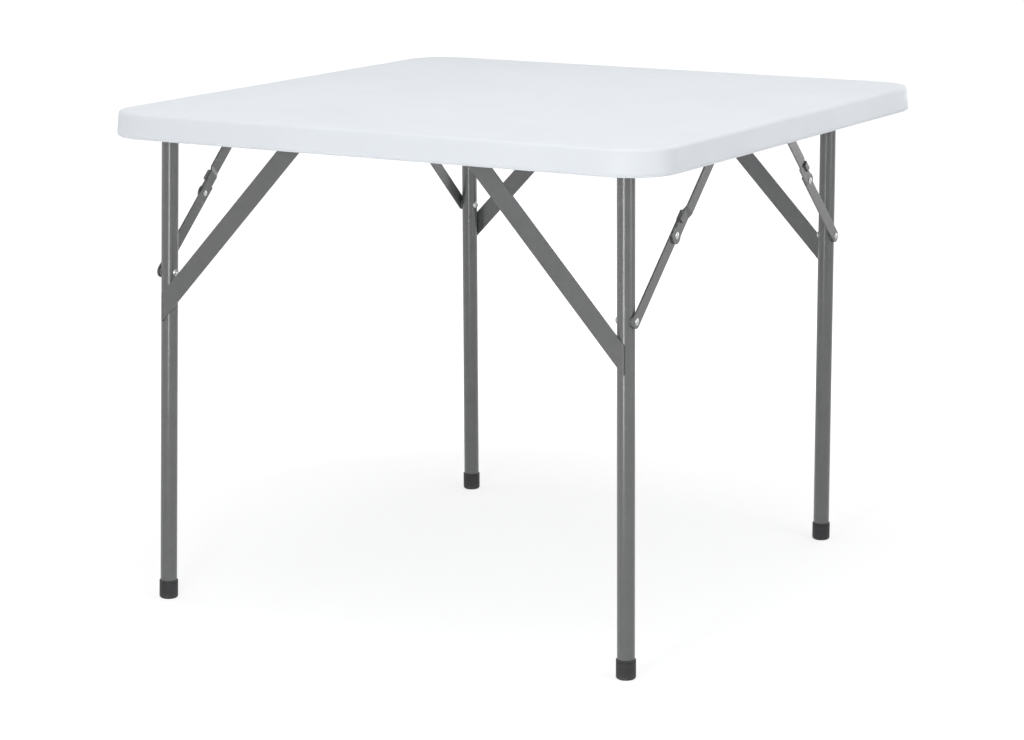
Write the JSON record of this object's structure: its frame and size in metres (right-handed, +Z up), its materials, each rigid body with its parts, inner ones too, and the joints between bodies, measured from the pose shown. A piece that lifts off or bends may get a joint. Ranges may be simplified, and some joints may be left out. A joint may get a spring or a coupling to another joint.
{
  "type": "folding card table",
  "caption": "Square folding card table with a white moulded top and two grey steel leg frames that fold flat under it on hinged stays.",
  "frame": {"origin": "on the floor under the middle of the top", "axes": "+Z up; X runs along the cross tubes of the leg frames; the wide front leg frame is at -Y and the narrow back one at +Y"},
  "size_m": [0.914, 0.914, 0.74],
  "materials": {
    "top_plastic": "cool white, fine grain",
    "frame_steel": "satin grey powder coat",
    "rail_steel": "satin grey powder coat",
    "bright_zinc": "bright zinc plate",
    "foot_rubber": "matt charcoal",
    "bush_nylon": "matt black"
  },
  "bodies": {
    "top": {"tabletop": "top_plastic", "side_rail_left": "rail_steel", "side_rail_right": "rail_steel", "rail_screws": "bright_zinc", "stay_bracket_left": "rail_steel", "stay_bracket_right": "rail_steel", "bracket_screws": "bright_zinc", "front_pivot_bush_right": "bush_nylon", "front_stay_pivot_rivet_right": "bright_zinc", "front_pivot_washer_right": "bright_zinc", "front_pivot_bush_left": "bush_nylon", "front_stay_pivot_rivet_left": "bright_zinc", "front_pivot_washer_left": "bright_zinc", "back_pivot_bush_right": "bush_nylon", "back_stay_pivot_rivet_right": "bright_zinc", "back_pivot_washer_right": "bright_zinc", "back_pivot_bush_left": "bush_nylon", "back_stay_pivot_rivet_left": "bright_zinc", "back_pivot_washer_left": "bright_zinc"},
    "front_leg_frame": {"front_cross_tube": "frame_steel", "front_leg_right": "frame_steel", "front_leg_left": "frame_steel", "front_foot_right": "foot_rubber", "front_foot_left": "foot_rubber", "front_brace_right": "frame_steel", "front_brace_left": "frame_steel", "front_leg_rivet_right": "bright_zinc", "front_leg_rivet_left": "bright_zinc", "front_leg_washer_right": "frame_steel", "front_leg_washer_left": "frame_steel"},
    "front_right_upper": {"front_upper_stay_right": "frame_steel", "front_knuckle_rivet_right": "bright_zinc"},
    "front_right_lower": {"front_lower_stay_right": "frame_steel", "front_leg_rivet_head_right": "bright_zinc"},
    "front_left_upper": {"front_upper_stay_left": "frame_steel", "front_knuckle_rivet_left": "bright_zinc"},
    "front_left_lower": {"front_lower_stay_left": "frame_steel", "front_leg_rivet_head_left": "bright_zinc"},
    "back_leg_frame": {"back_cross_tube": "frame_steel", "back_leg_right": "frame_steel", "back_leg_left": "frame_steel", "back_foot_right": "foot_rubber", "back_foot_left": "foot_rubber", "back_brace_right": "frame_steel", "back_brace_left": "frame_steel", "back_leg_rivet_right": "bright_zinc", "back_leg_rivet_left": "bright_zinc", "back_leg_washer_right": "frame_steel", "back_leg_washer_left": "frame_steel"},
    "back_right_upper": {"back_upper_stay_right": "frame_steel", "back_knuckle_rivet_right": "bright_zinc"},
    "back_right_lower": {"back_lower_stay_right": "frame_steel", "back_leg_rivet_head_right": "bright_zinc"},
    "back_left_upper": {"back_upper_stay_left": "frame_steel", "back_knuckle_rivet_left": "bright_zinc"},
    "back_left_lower": {"back_lower_stay_left": "frame_steel", "back_leg_rivet_head_left": "bright_zinc"}
  },
  "joints": [
    {"name": "front_fold", "type": "hinge", "parent": "top", "child": "front_leg_frame", "pos_m": [0, -0.386, 0.7118], "axis": [1, 0, 0], "range_deg": [0, 91.5]},
    {"name": "front_right_stay_pivot", "type": "hinge", "parent": "top", "child": "front_right_upper", "pos_m": [0.4016, -0.159, 0.7118], "axis": [1, 0, 0], "range_deg": [-42.47, 0]},
    {"name": "front_right_knuckle", "type": "hinge", "parent": "front_right_upper", "child": "front_right_lower", "pos_m": [0.3988, -0.28051, 0.60063], "axis": [1, 0, 0], "range_deg": [0, 180.02]},
    {"name": "front_left_stay_pivot", "type": "hinge", "parent": "top", "child": "front_left_upper", "pos_m": [-0.4016, -0.159, 0.7118], "axis": [1, 0, 0], "range_deg": [-42.47, 0]},
    {"name": "front_left_knuckle", "type": "hinge", "parent": "front_left_upper", "child": "front_left_lower", "pos_m": [-0.3988, -0.28051, 0.60063], "axis": [1, 0, 0], "range_deg": [0, 180.02]},
    {"name": "back_fold", "type": "hinge", "parent": "top", "child": "back_leg_frame", "pos_m": [0, 0.381, 0.713], "axis": [-1, 0, 0], "range_deg": [0, 90.22]},
    {"name": "back_right_stay_pivot", "type": "hinge", "parent": "top", "child": "back_right_upper", "pos_m": [0.34972, 0.154, 0.713], "axis": [-1, 0, 0], "range_deg": [-43.22, 0]},
    {"name": "back_right_knuckle", "type": "hinge", "parent": "back_right_upper", "child": "back_right_lower", "pos_m": [0.34692, 0.27264, 0.60155], "axis": [-1, 0, 0], "range_deg": [0, 180.02]},
    {"name": "back_left_stay_pivot", "type": "hinge", "parent": "top", "child": "back_left_upper", "pos_m": [-0.34972, 0.154, 0.713], "axis": [-1, 0, 0], "range_deg": [-43.22, 0]},
    {"name": "back_left_knuckle", "type": "hinge", "parent": "back_left_upper", "child": "back_left_lower", "pos_m": [-0.34692, 0.27264, 0.60155], "axis": [-1, 0, 0], "range_deg": [0, 180.02]}
  ],
  "couplings": [
    {"joint": "front_right_stay_pivot", "follows": "front_fold", "ratio": -0.46397},
    {"joint": "front_right_knuckle", "follows": "front_fold", "ratio": 1.9671},
    {"joint": "front_left_stay_pivot", "follows": "front_fold", "ratio": -0.46397},
    {"joint": "front_left_knuckle", "follows": "front_fold", "ratio": 1.9671},
    {"joint": "back_right_stay_pivot", "follows": "back_fold", "ratio": -0.47895},
    {"joint": "back_right_knuckle", "follows": "back_fold", "ratio": 1.9952},
    {"joint": "back_left_stay_pivot", "follows": "back_fold", "ratio": -0.47895},
    {"joint": "back_left_knuckle", "follows": "back_fold", "ratio": 1.9952}
  ]
}
